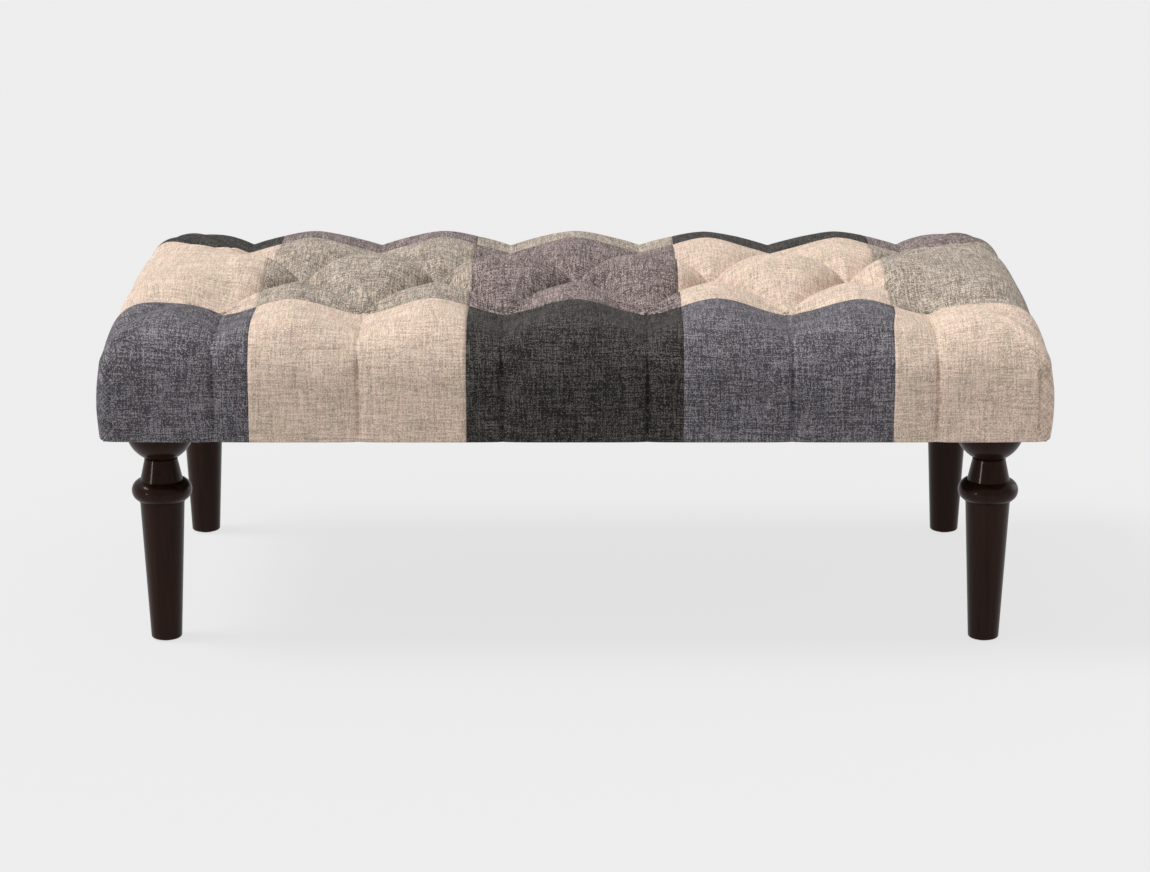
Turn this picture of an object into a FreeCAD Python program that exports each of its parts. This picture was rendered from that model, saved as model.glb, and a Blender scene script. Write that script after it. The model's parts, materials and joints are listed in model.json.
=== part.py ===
import FreeCAD, Part
import math
import os
from collections import namedtuple
from FreeCAD import Vector

# A tufted footstool: a softwood frame on four turned legs, and a foam pad under a patchwork cover
# that is drawn down at seventeen blind tufts. Millimetres, +Z up, the floor at Z = 0, the origin
# under the middle of the seat, +X to the right and the front towards -Y.

INCH = 25.4
ROOT_HALF = math.sqrt(0.5)

# Overall sizes, over the cover
WIDTH = 48 * INCH
DEPTH = 25 * INCH
FRAME_BASE = 286.0  # underside of the wooden frame, on which the legs seat

# Layers of the seat, from the outside in
COVER_T = 1.5
GAP = 0.6
WRAP_T = 6.0
FRAME_IN = 14.0  # from the outside of the cover to the outside of the frame
COVER_BASE = FRAME_BASE - COVER_T
RETURN = 30.0  # how far the cover turns in under the frame
EDGE_R = 6.0  # rounding of the cover's lower edge
CORNER_R = 18.0  # upright corners of the seat
INNER_CORNER_R = 3.0  # least rounding of a layer inside them

# Tufts: front and back rows of six, and a middle row of five between them
PITCH = 7.2 * INCH
ROW = 6.5 * INCH  # from the middle row to the front and back rows
FRONT_COLUMNS = [PITCH * (i - 2.5) for i in range(6)]
MIDDLE_COLUMNS = [PITCH * (i - 2) for i in range(5)]
FIELD = FRONT_COLUMNS[-1]  # the last tufts towards the ends
DIMPLE = 3.0  # half width of the flat at the bottom of a tuft

# Heights of the cover's outside
SHOULDER_Z = 372.0  # the sides stand upright to here
BROW_PUFF_Z = 424.0  # half way round the shoulder, on the puffs
BROW_PLEAT_Z = 402.0  # and in the pleats
TUFT_Z = 416.0
CREASE_RISE = 15.0  # the fold between two tufts rises this much half way
SEAM_Z = 450.0  # front and back patch seams, on the puffs
END_PLEAT_Z = 440.0  # bottom of the pleats that run out to the ends
CROWN_Z = 456.0

# Edges of the seat
SEAM_Y = DEPTH / 2 - 100.0  # front and back patch seams, on the puffs
SHOULDER_RUN = 95.0  # from the end faces in to the full height
END_FACE_RISE = 0.1  # share of the full height that the end faces reach
PLEAT_BOTTOM = 2.5  # depth of the pleats in the front and back faces, at the lower edge
PLEAT_TOP = 6.0  # and at the shoulder
BROW_PUFF_IN = 29.0  # from the face to half way round the shoulder, on the puffs
BROW_PLEAT_IN = 44.0  # and in the pleats
TURN_PUFF = math.radians(27)  # the shoulder's foot is this much steeper than its chord, on the puffs
TURN_PLEAT = math.radians(14)  # and in the pleats

# Places of the cross-sections that the seat is lofted through
STEP = PITCH / 8
FIELD_STEPS = 20
PAST_FIELD_STEPS = [3.0, 9.0, 20.0, 36.0, 52.0, 68.0]  # from the last tufts towards the ends
END_STEPS = [0.0, 2.0, 5.0, 9.0, 14.0, 20.0, 27.0, 35.0, 44.0, 54.0, 66.0]  # from the ends in
SLAB_STEPS = [0.0, 0.3, 0.7, 1.0]
COLUMN_EDGES = [-math.inf, -18 * STEP, -6 * STEP, 6 * STEP, 18 * STEP, math.inf]
SHORT_EDGE = 10.0

# Wooden frame
RAIL_T = 19.0
RAIL_H = 64.0
RAIL_ROUND = 6.0
DECK_T = 12.0
DECK_CORNER = 20.0
RAIL_TOP = FRAME_BASE + RAIL_H
DECK_TOP = RAIL_TOP + DECK_T
FRAME_X = WIDTH / 2 - FRAME_IN
FRAME_Y = DEPTH / 2 - FRAME_IN
CROSS_X = 9 * INCH
BLOCK = 100.0
BLOCK_T = 38.0
BLOCK_CHAMFER = 45.0
TUFT_HOLE_R = 6.0

# Legs
LEG_IN = 3 * INCH  # leg axis to the outside of the cover, both ways
LEG_X = WIDTH / 2 - LEG_IN
LEG_Y = DEPTH / 2 - LEG_IN
GLIDE_T = 2.0
GLIDE_R = 12.0
NAIL_R = 1.2
NAIL_L = 14.0
FOOT_R = 20.0
FOOT_ROUND = 3.0
SHAFT_R = 28.7
SHAFT_TOP = 187.7
BEAD = 1.2  # fine fillets cut beside the ring and the ball
RING_R = 38.8
RING_LOW = SHAFT_TOP + BEAD
RING_HIGH = 216.0
RING_NECK_R = 27.3
NECK_R = 21.0
NECK_TOP = 244.4
BALL_R = 44.7
BALL_Z = 285.4

# Hardware
BOLT_R = 4.0
BOLT_IN_LEG = 42.0
BOLT_ABOVE = 46.0
BOLT_TIP = 5.0
FIT = 0.1
NUT_BARREL_R = 5.2
NUT_BARREL_L = 11.0
NUT_FLANGE_R = 11.0
NUT_FLANGE_T = 1.6
SCREW_R = 2.0
SCREW_HEAD_R = 4.2
SCREW_HEAD_L = 2.4
SCREW_TIP = 4.0
FRAME_SCREW_L = 50.0
DECK_SCREW_L = 38.0
FRAME_SCREW_Z = [FRAME_BASE + 14.0, FRAME_BASE + 46.0]
BLOCK_SCREW_Z = FRAME_BASE + BLOCK_T / 2
BLOCK_SCREW_PLACES = [22.0, 78.0]  # along the block, from the inner corner of the frame
DECK_SCREW_X = [-550.0, -330.0, -110.0, 110.0, 330.0, 550.0]
DECK_SCREW_Y = [-130.0, 130.0]
TWINE_R = 1.0
TWINE_HOLE_R = 1.5
KNOT_R = 2.6
TOGGLE_R = 11.0
TOGGLE_T = 4.0
DUST_T = 0.8
DUST_IN = 12.0
DUST_HOLE_R = BALL_R + 2.0
STAPLE_CROWN = 10.0
STAPLE_WIRE = 0.8
STAPLE_LEG = 8.0
STAPLE_IN = 22.0  # staples to the outside of the cover
STAPLE_X = [-560.0, -460.0, -345.0, -230.0, -115.0, 0.0, 115.0, 230.0, 345.0, 460.0, 560.0]
STAPLE_Y = [-240.0, -130.0, 0.0, 130.0, 240.0]

CORNERS = {
    "front_left": (-1, -1),
    "front_right": (1, -1),
    "back_left": (-1, 1),
    "back_right": (1, 1),
}
TUFTS = [(x, side * ROW) for side in (-1, 1) for x in FRONT_COLUMNS] + [(x, 0.0) for x in MIDDLE_COLUMNS]

# A layer's surface: how far its sides and its top lie inside the cover's outside, its lower edge,
# and whether the pleats are pressed into its sides
Layer = namedtuple("Layer", "sides top base pleated")
COVER_OUT = Layer(0.0, 0.0, COVER_BASE, True)
COVER_IN = Layer(COVER_T, COVER_T, FRAME_BASE, True)
WRAP_OUT = Layer(COVER_T + GAP, COVER_T + GAP, FRAME_BASE + GAP, True)
WRAP_IN = Layer(FRAME_IN - GAP, COVER_T + GAP + WRAP_T, FRAME_BASE + GAP, False)
FOAM_OUT = Layer(FRAME_IN, COVER_T + GAP + WRAP_T + GAP, DECK_TOP, False)

# Stretches of the cross-section, as numbers of its edges: the return, the lower edge, the side, the
# two arcs of the shoulder, the front puff and half of the middle puff, and the same again at the back
LAST_EDGE = 14
ROWS = {"front": (0, 5), "top": (5, 9), "back": (9, LAST_EDGE)}
SIDES_AND_TOP = (2, LAST_EDGE - 2)


def box(x0, x1, y0, y1, z0, z1):
    return Part.makeBox(x1 - x0, y1 - y0, z1 - z0, Vector(x0, y0, z0))


def cylinder(r, x, y, z0, z1):
    return Part.makeCylinder(r, z1 - z0, Vector(x, y, z0))


def puff(distance):
    """Rise of a puff, from 0 at a pleat to 1 half a pitch away: sharp at the pleat, round on top."""
    share = min(distance / (PITCH / 2), 1.0)
    return math.sqrt(1 - (1 - share) ** 2)


def nearest(x, columns):
    return min(abs(x - column) for column in columns)


def mix(a, b, share):
    return a + (b - a) * share


def mix_points(p, q, share):
    return (mix(p[0], q[0], share), mix(p[1], q[1], share))


def direction(p, q):
    """Angle of the line from p to q, both given as (distance from the middle, Z)."""
    return math.atan2(q[1] - p[1], p[0] - q[0])


def arc_mid(p, q, lean):
    """The point half way along the arc that leaves p at an angle and ends at q, or None where the two
    are so close that a straight edge joins them."""
    if math.dist(p, q) < SHORT_EDGE:
        return None
    chord = direction(p, q)
    rise = math.dist(p, q) / 2 * math.tan((lean - chord) / 2)
    y, z = mix_points(p, q, 0.5)
    return (y + rise * math.sin(chord), z + rise * math.cos(chord))


def arc_end(p, q, lean):
    """The angle at which that arc reaches q."""
    return 2 * direction(p, q) - lean


def end_rise(from_end):
    """Share of the full height at a distance from the end face: a quarter of an ellipse."""
    if from_end >= SHOULDER_RUN:
        return 1.0
    return max(END_FACE_RISE, math.sqrt(1 - (1 - from_end / SHOULDER_RUN) ** 2))


def corner_cut(from_end, radius):
    """How far the rounded upright corner draws the side in, at a distance from the end face."""
    if from_end >= radius:
        return 0.0
    return radius - math.sqrt(radius**2 - (radius - from_end) ** 2)


def half_section(x, layer):
    """Corner points of half a cross-section as (distance from the middle, Z), from the return up to
    the middle of the top, and the points half way along its arcs, None where the edge is straight."""
    end = WIDTH / 2 - layer.sides - abs(x)
    rise = end_rise(end)
    half = DEPTH / 2 - corner_cut(end, max(CORNER_R - layer.sides, INNER_CORNER_R))
    front = puff(nearest(x, FRONT_COLUMNS))
    middle = puff(nearest(x, MIDDLE_COLUMNS))

    def at_height(z):
        return SHOULDER_Z + (z - SHOULDER_Z) * rise

    def moved_in(point, share_of_sides, share_of_top):
        return point and (point[0] - layer.sides * share_of_sides, point[1] - layer.top * share_of_top)

    pressed = (1 - front) if layer.pleated else 0.0
    side = (half - PLEAT_TOP * pressed, SHOULDER_Z)
    brow = (half - mix(BROW_PLEAT_IN, BROW_PUFF_IN, front), at_height(mix(BROW_PLEAT_Z, BROW_PUFF_Z, front)))
    if abs(x) <= FIELD + FIT:
        along = nearest(x, FRONT_COLUMNS) / (PITCH / 2)
        seam = (mix(ROW, SEAM_Y, front), at_height(mix(TUFT_Z, SEAM_Z, front)))
        crease_z = TUFT_Z + CREASE_RISE * math.sin(math.pi * along)
        crease = (mix(ROW - DIMPLE, DIMPLE, along), at_height(crease_z))
    else:
        seam = (ROW, at_height(mix(TUFT_Z, END_PLEAT_Z, puff(abs(x) - FIELD))))
        crease = (ROW - DIMPLE, seam[1])
    top = (0.0, at_height(mix(TUFT_Z, CROWN_Z, middle)))

    lean = direction(side, brow) + mix(TURN_PLEAT, TURN_PUFF, front) * rise
    brow_lean = arc_end(side, brow, lean)
    seam_lean = arc_end(brow, seam, brow_lean)
    level_on_top = 2 * direction(crease, top)

    low = layer.base
    low_y = half - layer.sides - PLEAT_BOTTOM * pressed
    edge = max(EDGE_R - layer.sides, 1.0)
    corners = [
        (half - layer.sides - RETURN, low),
        (low_y - edge, low),
        (low_y, low + edge),
        moved_in(side, 1.0, 0.5),
        moved_in(brow, 0.5, 0.8),
        moved_in(seam, 0.0, 1.0),
        moved_in(crease, 0.0, 1.0),
        moved_in(top, 0.0, 1.0),
    ]
    mids = [
        None,
        (low_y - edge + edge * ROOT_HALF, low + edge - edge * ROOT_HALF),
        None,
        moved_in(arc_mid(side, brow, lean), 0.8, 0.65),
        moved_in(arc_mid(brow, seam, brow_lean), 0.2, 0.95),
        moved_in(arc_mid(seam, crease, seam_lean), 0.0, 1.0),
        moved_in(arc_mid(crease, top, level_on_top), 0.0, 1.0),
    ]
    return corners, mids


def section(x, layer, stretch):
    """Corner points and arc points of a stretch of the whole cross-section, from front to back."""
    corners, mids = half_section(x, layer)
    points = [Vector(x, -y, z) for y, z in corners]
    points += [Vector(x, y, z) for y, z in reversed(corners[:-1])]
    arcs = [m and Vector(x, -m[0], m[1]) for m in mids]
    arcs += [m and Vector(x, m[0], m[1]) for m in reversed(mids)]
    first, last = stretch
    return points[first : last + 1], arcs[first:last]


def path_edges(points, arcs):
    edges = []
    for p, q, m in zip(points, points[1:], arcs):
        curve = Part.LineSegment(p, q) if m is None else Part.Arc(p, m, q)
        edges.append(curve.toShape())
    return edges


def line(p, q):
    return Part.LineSegment(p, q).toShape()


def loft(wires):
    return Part.makeLoft(wires, True, True)


def places(layer):
    """Where the seat's cross-sections stand, from the left end of a layer to its right end."""
    end = WIDTH / 2 - layer.sides
    right = [FIELD + step for step in PAST_FIELD_STEPS] + [end - step for step in reversed(END_STEPS)]
    field = [STEP * i for i in range(-FIELD_STEPS, FIELD_STEPS + 1)]
    return [-x for x in reversed(right)] + field + right


def skin(xs, outer, inner, stretch):
    """A shell between two layers, over a stretch of the cross-section."""
    wires = []
    for x in xs:
        out_points, out_arcs = section(x, outer, stretch)
        in_points, in_arcs = section(x, inner, stretch)
        in_points.reverse()
        in_arcs.reverse()
        edges = path_edges(out_points, out_arcs) + [line(out_points[-1], in_points[0])]
        edges += path_edges(in_points, in_arcs) + [line(in_points[-1], out_points[0])]
        wires.append(Part.Wire(edges))
    return loft(wires)


def filled_wire(x, layer, stretch):
    """A stretch of the cross-section, closed straight down and along the layer's lower edge."""
    points, arcs = section(x, layer, stretch)
    edges = path_edges(points, arcs)
    corners = [points[-1]]
    if points[-1].z > layer.base + FIT:
        corners.append(Vector(x, points[-1].y, layer.base))
    if points[0].z > layer.base + FIT:
        corners.append(Vector(x, points[0].y, layer.base))
    corners.append(points[0])
    edges += [line(p, q) for p, q in zip(corners, corners[1:])]
    return Part.Wire(edges)


def end_slab(side, outer, inner, stretch):
    """What closes a shell at one end, from the inner layer's end face to the outer one's."""
    end = WIDTH / 2 - outer.sides
    thick = inner.sides - outer.sides
    xs = [side * (end - thick * (1 - share)) for share in SLAB_STEPS]
    return loft([filled_wire(x, outer, stretch) for x in xs])


def screw(start, direction, length):
    """A countersunk wood screw, its head flush at the start."""
    profile = [
        Vector(0, 0, 0),
        Vector(SCREW_HEAD_R, 0, 0),
        Vector(SCREW_R, 0, SCREW_HEAD_L),
        Vector(SCREW_R, 0, length - SCREW_TIP),
        Vector(0, 0, length),
        Vector(0, 0, 0),
    ]
    body = Part.Face(Part.makePolygon(profile)).revolve(Vector(), Vector(0, 0, 1), 360)
    body.Placement = FreeCAD.Placement(start, FreeCAD.Rotation(Vector(0, 0, 1), direction))
    return body


def frame_screws():
    """Screws through the front and back rails into the end and cross rails and the blocks, and
    through the end rails into the blocks."""
    screws = []
    rail_ends = [side * (FRAME_X - RAIL_T / 2) for side in (-1, 1)]
    for face in (-1, 1):
        inwards = Vector(0, -face, 0)
        for x in rail_ends + [-CROSS_X, CROSS_X]:
            screws += [screw(Vector(x, face * FRAME_Y, z), inwards, FRAME_SCREW_L) for z in FRAME_SCREW_Z]
    for side, face in CORNERS.values():
        for along in BLOCK_SCREW_PLACES:
            x = side * (FRAME_X - RAIL_T - along)
            y = face * (FRAME_Y - RAIL_T - along)
            through_face = Vector(x, face * FRAME_Y, BLOCK_SCREW_Z + SCREW_HEAD_R)
            through_end = Vector(side * FRAME_X, y, BLOCK_SCREW_Z - SCREW_HEAD_R)
            screws.append(screw(through_face, Vector(0, -face, 0), FRAME_SCREW_L))
            screws.append(screw(through_end, Vector(-side, 0, 0), FRAME_SCREW_L))
    return screws


def deck_screws():
    rail_y = FRAME_Y - RAIL_T / 2
    rail_x = FRAME_X - RAIL_T / 2
    spots = [(x, side * rail_y) for side in (-1, 1) for x in DECK_SCREW_X]
    spots += [(side * rail_x, y) for side in (-1, 1) for y in DECK_SCREW_Y]
    return [screw(Vector(x, y, DECK_TOP), Vector(0, 0, -1), DECK_SCREW_L) for x, y in spots]


def staple(x, y, along_x):
    """A staple driven up through the dust cover and the cover's return into a rail."""
    low = COVER_BASE - DUST_T - STAPLE_WIRE
    half = STAPLE_CROWN / 2
    thin = STAPLE_WIRE / 2
    crown = box(-half, half, -thin, thin, low, low + STAPLE_WIRE)
    legs = [box(s - thin, s + thin, -thin, thin, low, low + STAPLE_LEG) for s in (thin - half, half - thin)]
    body = crown.fuse(legs).removeSplitter()
    if not along_x:
        body.rotate(Vector(), Vector(0, 0, 1), 90)
    body.translate(Vector(x, y, 0))
    return body


def staples():
    y = DEPTH / 2 - STAPLE_IN
    x = WIDTH / 2 - STAPLE_IN
    rows = [staple(place, side * y, True) for side in (-1, 1) for place in STAPLE_X]
    return rows + [staple(side * x, place, False) for side in (-1, 1) for place in STAPLE_Y]


def rail(x0, x1, y0, y1, height, rounded=None):
    """A rail, its top level with the frame's; rounded picks the upright edges to round."""
    board = box(x0, x1, y0, y1, RAIL_TOP - height, RAIL_TOP)
    if rounded is None:
        return board
    edges = [e for e in board.Edges if abs(e.tangentAt(e.FirstParameter).z) > ROOT_HALF]
    outer = [e for e in edges if abs(e.CenterOfMass.y - rounded) < FIT]
    return board.makeFillet(RAIL_ROUND, outer)


def frame_rails():
    inner_y = FRAME_Y - RAIL_T
    cross_half = RAIL_T / 2
    return {
        "front_rail": rail(-FRAME_X, FRAME_X, -FRAME_Y, -inner_y, RAIL_H, -FRAME_Y),
        "back_rail": rail(-FRAME_X, FRAME_X, inner_y, FRAME_Y, RAIL_H, FRAME_Y),
        "left_end_rail": rail(-FRAME_X, RAIL_T - FRAME_X, -inner_y, inner_y, RAIL_H),
        "right_end_rail": rail(FRAME_X - RAIL_T, FRAME_X, -inner_y, inner_y, RAIL_H),
        "left_cross_rail": rail(-CROSS_X - cross_half, cross_half - CROSS_X, -inner_y, inner_y, RAIL_H),
        "right_cross_rail": rail(CROSS_X - cross_half, CROSS_X + cross_half, -inner_y, inner_y, RAIL_H),
    }


def corner_block(side, face):
    """A block in a corner of the frame, bored for the bolt and the barrel of the T-nut."""
    outline = [
        (0, 0),
        (BLOCK, 0),
        (BLOCK, BLOCK - BLOCK_CHAMFER),
        (BLOCK - BLOCK_CHAMFER, BLOCK),
        (0, BLOCK),
        (0, 0),
    ]
    inner_x = FRAME_X - RAIL_T
    inner_y = FRAME_Y - RAIL_T
    points = [Vector(side * (inner_x - u), face * (inner_y - v), FRAME_BASE) for u, v in outline]
    block = Part.Face(Part.makePolygon(points)).extrude(Vector(0, 0, BLOCK_T))
    bore = cylinder(NUT_BARREL_R, side * LEG_X, face * LEG_Y, FRAME_BASE, FRAME_BASE + BLOCK_T)
    return block.cut(bore)


def deck_board():
    board = box(-FRAME_X, FRAME_X, -FRAME_Y, FRAME_Y, RAIL_TOP, DECK_TOP)
    upright = [e for e in board.Edges if abs(e.tangentAt(e.FirstParameter).z) > ROOT_HALF]
    board = board.makeFillet(DECK_CORNER, upright)
    return board.cut([cylinder(TUFT_HOLE_R, x, y, RAIL_TOP, DECK_TOP) for x, y in TUFTS])


def tuft_holes():
    return [cylinder(TWINE_HOLE_R, x, y, RAIL_TOP, CROWN_Z) for x, y in TUFTS]


def foam_pad():
    wires = [filled_wire(x, FOAM_OUT, SIDES_AND_TOP) for x in places(FOAM_OUT)]
    return loft(wires).cut(tuft_holes())


def fibre_wrap():
    body = skin(places(WRAP_IN), WRAP_OUT, WRAP_IN, SIDES_AND_TOP)
    ends = [end_slab(side, WRAP_OUT, WRAP_IN, SIDES_AND_TOP) for side in (-1, 1)]
    return body.fuse(ends).cut(tuft_holes())


def end_return(side, row):
    """The part of an end patch that turns in under the end rail."""
    outer = side * (WIDTH / 2 - COVER_T)
    inner = side * (WIDTH / 2 - RETURN)
    edge = DEPTH / 2 - RETURN
    spans = {"front": (-edge, -ROW), "top": (-ROW, ROW), "back": (ROW, edge)}
    return box(min(outer, inner), max(outer, inner), *spans[row], COVER_BASE, FRAME_BASE)


def cover_patch(row, column):
    """One colour block of the cover; the outer columns go on down the end faces and turn under."""
    low, high = COLUMN_EDGES[column : column + 2]
    xs = [x for x in places(COVER_IN) if low - FIT < x < high + FIT]
    body = skin(xs, COVER_OUT, COVER_IN, ROWS[row])
    if math.isfinite(low) and math.isfinite(high):
        return body
    side = 1 if math.isfinite(low) else -1
    first, last = ROWS[row]
    stretch = (max(first, 1), min(last, LAST_EDGE - 1))
    return body.fuse([end_slab(side, COVER_OUT, COVER_IN, stretch), end_return(side, row)])


def leg(side, face):
    """A turned leg: tapered shaft, ring between two fine fillets, neck and half ball."""
    foot_z = GLIDE_T
    ball_low_z = NECK_TOP + BEAD
    ball_low_r = math.sqrt(BALL_R**2 - (BALL_Z - ball_low_z) ** 2)
    turn = math.asin((BALL_Z - ball_low_z) / BALL_R) / 2
    ball_mid = Vector(BALL_R * math.cos(turn), 0, BALL_Z - BALL_R * math.sin(turn))
    round_mid_r = FOOT_R - FOOT_ROUND + FOOT_ROUND * ROOT_HALF
    round_mid_z = foot_z + FOOT_ROUND - FOOT_ROUND * ROOT_HALF

    def at(r, z):
        return Vector(r, 0, z)

    ring_mid = at(RING_R, (RING_LOW + RING_HIGH) / 2)
    edges = [
        line(at(0, foot_z), at(FOOT_R - FOOT_ROUND, foot_z)),
        Part.Arc(
            at(FOOT_R - FOOT_ROUND, foot_z), at(round_mid_r, round_mid_z), at(FOOT_R, foot_z + FOOT_ROUND)
        ).toShape(),
        line(at(FOOT_R, foot_z + FOOT_ROUND), at(SHAFT_R, SHAFT_TOP)),
        line(at(SHAFT_R, SHAFT_TOP), at(SHAFT_R + BEAD, SHAFT_TOP)),
        line(at(SHAFT_R + BEAD, SHAFT_TOP), at(SHAFT_R + BEAD, RING_LOW)),
        Part.Arc(at(SHAFT_R + BEAD, RING_LOW), ring_mid, at(RING_NECK_R, RING_HIGH)).toShape(),
        line(at(RING_NECK_R, RING_HIGH), at(NECK_R, NECK_TOP)),
        line(at(NECK_R, NECK_TOP), at(ball_low_r + BEAD, NECK_TOP)),
        line(at(ball_low_r + BEAD, NECK_TOP), at(ball_low_r, ball_low_z)),
        Part.Arc(at(ball_low_r, ball_low_z), ball_mid, at(BALL_R, BALL_Z)).toShape(),
        line(at(BALL_R, BALL_Z), at(BALL_R, FRAME_BASE)),
        line(at(BALL_R, FRAME_BASE), at(0, FRAME_BASE)),
        line(at(0, FRAME_BASE), at(0, foot_z)),
    ]
    body = Part.Face(Part.Wire(edges)).revolve(Vector(), Vector(0, 0, 1), 360)
    body = body.cut([hanger_bolt(), glide()])
    body.translate(Vector(side * LEG_X, face * LEG_Y, 0))
    return body


def hanger_bolt():
    """A bolt on the leg's axis: wood thread below, with a point, and machine thread above."""
    low = FRAME_BASE - BOLT_IN_LEG
    point = Part.makeCone(0, BOLT_R, BOLT_TIP, Vector(0, 0, low))
    return point.fuse(cylinder(BOLT_R, 0, 0, low + BOLT_TIP, FRAME_BASE + BOLT_ABOVE))


def t_nut():
    top = FRAME_BASE + BLOCK_T
    barrel = cylinder(NUT_BARREL_R - FIT, 0, 0, top - NUT_BARREL_L, top)
    flange = cylinder(NUT_FLANGE_R, 0, 0, top, top + NUT_FLANGE_T)
    bore = cylinder(BOLT_R + FIT, 0, 0, top - NUT_BARREL_L, top + NUT_FLANGE_T)
    return barrel.fuse(flange).cut(bore)


def glide():
    return cylinder(GLIDE_R, 0, 0, 0, GLIDE_T).fuse(cylinder(NAIL_R, 0, 0, GLIDE_T, GLIDE_T + NAIL_L))


def at_legs(shape):
    """A copy of a shape on the axis of each leg."""
    copies = []
    for side, face in CORNERS.values():
        copy = shape.copy()
        copy.translate(Vector(side * LEG_X, face * LEG_Y, 0))
        copies.append(copy)
    return copies


def tuft_twines():
    """Twine from each tuft down through the deck, knotted under its toggle."""
    knot_z = RAIL_TOP - TOGGLE_T - KNOT_R
    top = TUFT_Z - COVER_T - GAP
    twines = []
    for x, y in TUFTS:
        knot = Part.makeSphere(KNOT_R, Vector(x, y, knot_z))
        twines.append(cylinder(TWINE_R, x, y, knot_z, top).fuse(knot))
    return twines


def tuft_toggles():
    toggles = []
    for x, y in TUFTS:
        disc = cylinder(TOGGLE_R, x, y, RAIL_TOP - TOGGLE_T, RAIL_TOP)
        toggles.append(disc.cut(cylinder(TWINE_HOLE_R, x, y, RAIL_TOP - TOGGLE_T, RAIL_TOP)))
    return toggles


def dust_cover():
    x = WIDTH / 2 - DUST_IN
    y = DEPTH / 2 - DUST_IN
    sheet = box(-x, x, -y, y, COVER_BASE - DUST_T, COVER_BASE)
    return sheet.cut(at_legs(cylinder(DUST_HOLE_R, 0, 0, COVER_BASE - DUST_T, COVER_BASE)))


def build():
    nodes = {}
    wood_screws = frame_screws()
    top_screws = deck_screws()
    cover_staples = staples()
    driven = wood_screws + top_screws + cover_staples
    for name, shape in frame_rails().items():
        nodes[name] = shape.cut(driven)
    for name, corner in CORNERS.items():
        nodes["corner_block_" + name] = corner_block(*corner).cut(wood_screws)
        nodes["leg_" + name] = leg(*corner)
    nodes["deck_board"] = deck_board().cut(top_screws)
    nodes["foam_pad"] = foam_pad()
    nodes["fibre_wrap"] = fibre_wrap()
    for row in ROWS:
        for column in range(len(COLUMN_EDGES) - 1):
            name = "cover_%s_%d" % (row, column + 1)
            nodes[name] = cover_patch(row, column).cut(cover_staples)
    nodes["dust_cover"] = dust_cover().cut(cover_staples)
    nodes["frame_screws"] = Part.Compound(wood_screws)
    nodes["deck_screws"] = Part.Compound(top_screws)
    nodes["cover_staples"] = Part.Compound(cover_staples)
    nodes["hanger_bolts"] = Part.Compound(at_legs(hanger_bolt()))
    nodes["t_nuts"] = Part.Compound(at_legs(t_nut()))
    nodes["foot_glides"] = Part.Compound(at_legs(glide()))
    nodes["tuft_twines"] = Part.Compound(tuft_twines())
    nodes["tuft_toggles"] = Part.Compound(tuft_toggles())
    return nodes


os.makedirs("parts", exist_ok=True)
for node, shape in build().items():
    shape.exportStep("parts/%s.step" % node)
    count = len(shape.Solids)
    print("%-26s solids %2d  valid %s  volume %.0f" % (node, count, shape.isValid(), shape.Volume))
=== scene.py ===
"""Looks of a tufted footstool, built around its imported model: patchwork linen cover, padding, turned legs
and underside. All lengths are in metres."""

import json
import math

import bmesh
import bpy
import numpy as np
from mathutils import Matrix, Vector, noise


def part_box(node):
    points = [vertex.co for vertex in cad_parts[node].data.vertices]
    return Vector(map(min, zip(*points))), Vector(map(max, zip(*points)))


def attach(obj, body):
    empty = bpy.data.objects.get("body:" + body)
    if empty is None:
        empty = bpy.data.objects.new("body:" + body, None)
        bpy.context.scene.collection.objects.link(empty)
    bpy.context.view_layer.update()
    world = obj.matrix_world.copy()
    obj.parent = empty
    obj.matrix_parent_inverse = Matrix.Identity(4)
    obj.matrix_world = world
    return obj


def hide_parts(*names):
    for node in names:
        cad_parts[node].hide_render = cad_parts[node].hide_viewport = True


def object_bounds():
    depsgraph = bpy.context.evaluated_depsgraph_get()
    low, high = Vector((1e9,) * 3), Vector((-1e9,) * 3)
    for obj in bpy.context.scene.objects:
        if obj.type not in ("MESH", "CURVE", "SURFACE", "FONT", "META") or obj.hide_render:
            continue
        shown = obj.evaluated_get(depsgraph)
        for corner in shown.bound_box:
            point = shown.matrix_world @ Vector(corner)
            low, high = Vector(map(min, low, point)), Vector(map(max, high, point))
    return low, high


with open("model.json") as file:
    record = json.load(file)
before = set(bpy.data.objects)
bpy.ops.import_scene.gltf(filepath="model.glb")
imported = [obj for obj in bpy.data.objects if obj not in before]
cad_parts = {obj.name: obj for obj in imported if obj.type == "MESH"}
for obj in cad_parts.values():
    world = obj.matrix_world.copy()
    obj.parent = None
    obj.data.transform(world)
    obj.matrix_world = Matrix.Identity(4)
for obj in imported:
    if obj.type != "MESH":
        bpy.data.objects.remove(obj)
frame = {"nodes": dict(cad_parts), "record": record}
CAD_LOW, CAD_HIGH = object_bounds()

# Overall form of the seat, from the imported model.
END_IN = 0.0035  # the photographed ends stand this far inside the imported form
HALF_W = CAD_HIGH.x - END_IN
HALF_D = CAD_HIGH.y
CROWN_Z = CAD_HIGH.z
BASE_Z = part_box("cover_front_3")[0].z
DECK_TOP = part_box("deck_board")[1].z
COVER_T = 0.0015
FIBRE_DEPTH = 0.0042  # from the outside of the cover
FIBRE_T = 0.004
FOAM_DEPTH = 0.0110
LAYER_DIP = 0.016
LAYER_DIP_R = 0.018
LAYER_PRESS = 1.2  # of what presses the cover in

# Tufts: six in front, five in the middle, six at the back.
PITCH = 0.18288
HALF_PITCH = PITCH / 2
ROW = 0.1651
FIELD = 2.5 * PITCH
TUFT_Z = 0.4165
CREASE_RISE = 0.005
TUFT_DIP = 0.0008
TUFT_DIP_R = 0.014

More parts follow.
